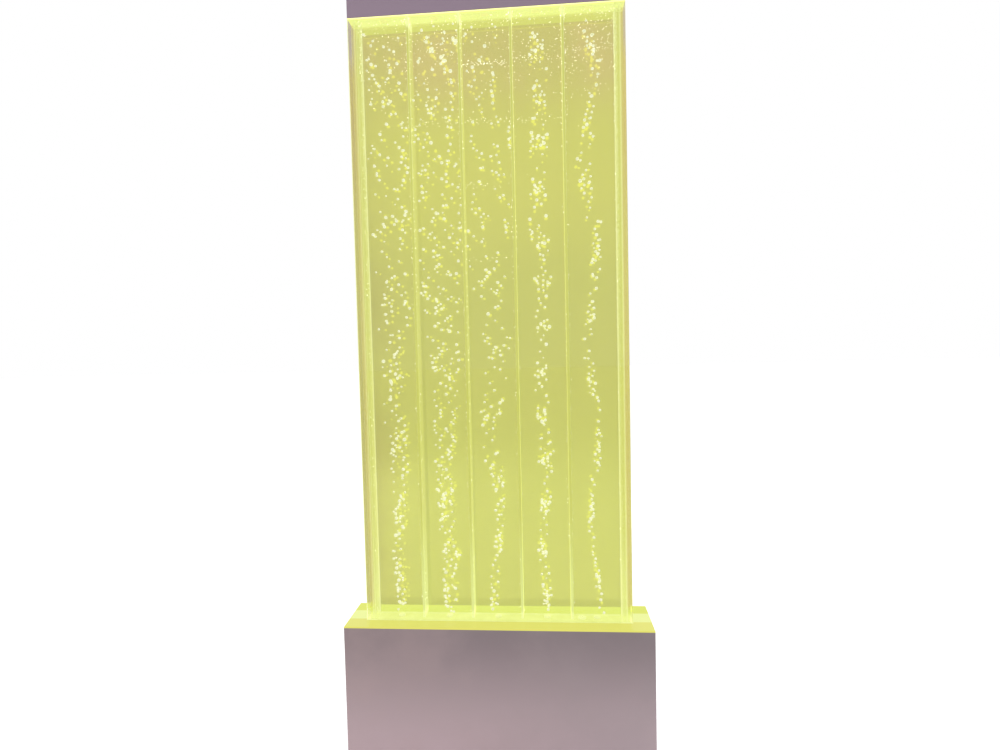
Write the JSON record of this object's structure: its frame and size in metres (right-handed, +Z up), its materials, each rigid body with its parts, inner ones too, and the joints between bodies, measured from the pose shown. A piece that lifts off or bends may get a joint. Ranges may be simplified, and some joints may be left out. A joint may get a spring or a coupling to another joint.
{
  "type": "free-standing bubble wall",
  "caption": "Free-standing lit water panel: clear tank in upright channels on a wider cabinet with a glowing deck, closed by a lift-off cap.",
  "frame": {"origin": "middle of the footprint on the floor", "axes": "+X to the right seen from the front, +Y to the rear, +Z up"},
  "size_m": [0.8, 0.14, 2],
  "materials": {
    "laminate": "satin",
    "cap_laminate": "satin",
    "floor_board": "matte",
    "door_steel": "satin",
    "deck_opal": "gloss",
    "silicone": "gloss",
    "front_acrylic": "polished",
    "rear_acrylic": "satin",
    "edge_acrylic": "polished",
    "divider_acrylic": "polished",
    "tank_floor": "gloss",
    "neoprene": "matte",
    "zinc_steel": "satin",
    "hinge_steel": "satin",
    "foot_steel": "satin",
    "aluminium": "satin",
    "led": "gloss",
    "brass": "satin",
    "nozzle": "gloss",
    "seal_rubber": "matte",
    "pump_case": "matte",
    "pump_cover": "satin",
    "knob": "satin",
    "check_valve": "gloss",
    "clear_tube": "gloss",
    "drain_tube": "satin",
    "drain_body": "satin",
    "lever": "satin",
    "inlet_black": "satin",
    "rocker": "gloss",
    "lead": "satin",
    "liner": "satin"
  },
  "bodies": {
    "wall": {"air_manifold": "brass", "air_nozzles": "nozzle", "air_tubes": "clear_tube", "check_valves": "check_valve", "corner_cleats": "aluminium", "deck_plate": "deck_opal", "deck_seal": "silicone", "divider_1": "divider_acrylic", "divider_2": "divider_acrylic", "divider_3": "divider_acrylic", "divider_4": "divider_acrylic", "drain_fitting": "nozzle", "drain_hose": "drain_tube", "drain_valve": "drain_body", "floor_board": "floor_board", "foot_inserts": "foot_steel", "frame_hinge_leaves": "hinge_steel", "front_pane": "front_acrylic", "front_panel": "laminate", "inlet_pins": "brass", "led_bar": "aluminium", "led_chips": "led", "led_driver": "aluminium", "left_end_bar": "edge_acrylic", "left_side_panel": "laminate", "left_trestle": "zinc_steel", "magnet_catch": "inlet_black", "manifold_bracket": "zinc_steel", "nozzle_nuts": "brass", "nozzle_seals": "seal_rubber", "power_inlet": "inlet_black", "pump_case": "pump_case", "pump_cover": "pump_cover", "pump_feet": "neoprene", "pump_hose": "clear_tube", "rear_frame": "laminate", "rear_pane": "rear_acrylic", "right_end_bar": "edge_acrylic", "right_side_panel": "laminate", "right_trestle": "zinc_steel", "tank_cradle": "zinc_steel", "tank_floor": "tank_floor", "tank_pads": "neoprene", "wiring": "lead"},
    "cap": {"cap_shell": "cap_laminate", "cap_lid": "cap_laminate", "cap_liner": "liner"},
    "door": {"service_door": "door_steel", "door_hinge_leaves": "hinge_steel"},
    "drain_lever": {"drain_lever": "lever"},
    "power_rocker": {"power_rocker": "rocker"},
    "air_valve_1": {"air_valve_1": "knob"},
    "air_valve_2": {"air_valve_2": "knob"},
    "air_valve_3": {"air_valve_3": "knob"},
    "air_valve_4": {"air_valve_4": "knob"},
    "air_valve_5": {"air_valve_5": "knob"},
    "front_left_foot": {"front_left_foot": "foot_steel"},
    "front_right_foot": {"front_right_foot": "foot_steel"},
    "rear_left_foot": {"rear_left_foot": "foot_steel"},
    "rear_right_foot": {"rear_right_foot": "foot_steel"}
  },
  "joints": [
    {"name": "cap_lift", "type": "slide", "parent": "wall", "child": "cap", "axis": [0, 0, 1], "range_m": [0, 0.2]},
    {"name": "door_swing", "type": "hinge", "parent": "wall", "child": "door", "pos_m": [-0.326, 0.067, 0.178], "axis": [0, 0, 1], "range_deg": [0, 110]},
    {"name": "drain_turn", "type": "hinge", "parent": "wall", "child": "drain_lever", "pos_m": [0.222, 0.012, 0.077], "axis": [0, 0, 1], "range_deg": [0, 90]},
    {"name": "power_rock", "type": "hinge", "parent": "wall", "child": "power_rocker", "pos_m": [0.362, 0.061, 0.117], "axis": [1, 0, 0], "range_deg": [-16, 0]},
    {"name": "air_valve_1_turn", "type": "hinge", "parent": "wall", "child": "air_valve_1", "pos_m": [-0.08, 0.01, 0.16], "axis": [0, 1, 0], "range_deg": [-270, 270]},
    {"name": "air_valve_2_turn", "type": "hinge", "parent": "wall", "child": "air_valve_2", "pos_m": [-0.04, 0.01, 0.16], "axis": [0, 1, 0], "range_deg": [-270, 270]},
    {"name": "air_valve_3_turn", "type": "hinge", "parent": "wall", "child": "air_valve_3", "pos_m": [0, 0.01, 0.16], "axis": [0, 1, 0], "range_deg": [-270, 270]},
    {"name": "air_valve_4_turn", "type": "hinge", "parent": "wall", "child": "air_valve_4", "pos_m": [0.04, 0.01, 0.16], "axis": [0, 1, 0], "range_deg": [-270, 270]},
    {"name": "air_valve_5_turn", "type": "hinge", "parent": "wall", "child": "air_valve_5", "pos_m": [0.08, 0.01, 0.16], "axis": [0, 1, 0], "range_deg": [-270, 270]},
    {"name": "front_left_foot_screw", "type": "slide", "parent": "wall", "child": "front_left_foot", "axis": [0, 0, 1], "range_m": [-0.01, 0]},
    {"name": "front_right_foot_screw", "type": "slide", "parent": "wall", "child": "front_right_foot", "axis": [0, 0, 1], "range_m": [-0.01, 0]},
    {"name": "rear_left_foot_screw", "type": "slide", "parent": "wall", "child": "rear_left_foot", "axis": [0, 0, 1], "range_m": [-0.01, 0]},
    {"name": "rear_right_foot_screw", "type": "slide", "parent": "wall", "child": "rear_right_foot", "axis": [0, 0, 1], "range_m": [-0.01, 0]}
  ]
}
